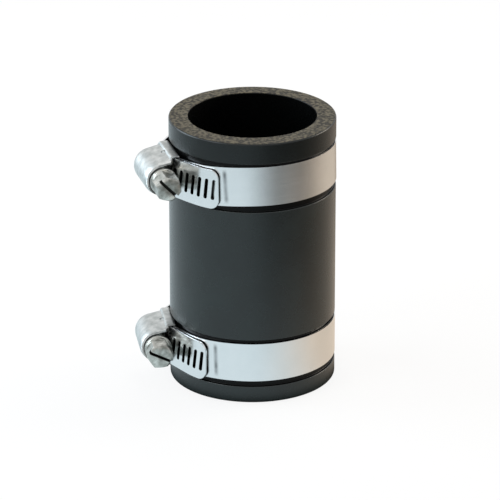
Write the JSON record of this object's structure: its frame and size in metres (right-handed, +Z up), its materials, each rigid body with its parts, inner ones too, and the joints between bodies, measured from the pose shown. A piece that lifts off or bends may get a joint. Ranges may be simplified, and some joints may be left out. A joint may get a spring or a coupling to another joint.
{
  "type": "flexible rubber pipe coupling",
  "caption": "Flexible rubber sleeve coupling with a worm-drive clamp seated near each end, for joining two plain pipe ends of the same size.",
  "frame": {"origin": "the surface the coupling stands on, under the middle of the whole object's footprint; the sleeve's axis is 5.8 mm towards +X of it, because both clamp housings stand out towards -X", "axes": "+Z up along the sleeve's axis, -Y towards the viewer of the picture, +X to that viewer's right"},
  "size_m": [0.0668, 0.0554, 0.091],
  "materials": {
    "rubber": "moulded, matt",
    "strip": "rolled stainless strip, bright",
    "housing": "stamped stainless, satin",
    "screw": "plated steel"
  },
  "bodies": {
    "sleeve": {"rubber_sleeve": "rubber"},
    "upper_clamp": {"upper_band": "strip", "upper_housing": "housing"},
    "upper_worm": {"upper_screw": "screw"},
    "lower_clamp": {"lower_band": "strip", "lower_housing": "housing"},
    "lower_worm": {"lower_screw": "screw"}
  },
  "joints": [
    {"name": "upper_clamp_turn", "type": "hinge", "parent": "sleeve", "child": "upper_clamp", "pos_m": [0.00579, 0, 0.0757], "axis": [0, 0, 1], "continuous": true},
    {"name": "upper_screw_turn", "type": "hinge", "parent": "upper_clamp", "child": "upper_worm", "pos_m": [-0.02572, -0.00994, 0.07527], "axis": [0.3006, -0.9521, -0.0562], "continuous": true, "deforming": ["upper_band"]},
    {"name": "lower_clamp_turn", "type": "hinge", "parent": "sleeve", "child": "lower_clamp", "pos_m": [0.00579, 0, 0.0144], "axis": [0, 0, 1], "continuous": true},
    {"name": "lower_screw_turn", "type": "hinge", "parent": "lower_clamp", "child": "lower_worm", "pos_m": [-0.02685, -0.00517, 0.0142], "axis": [0.1563, -0.9867, -0.0454], "continuous": true, "deforming": ["lower_band"]}
  ]
}
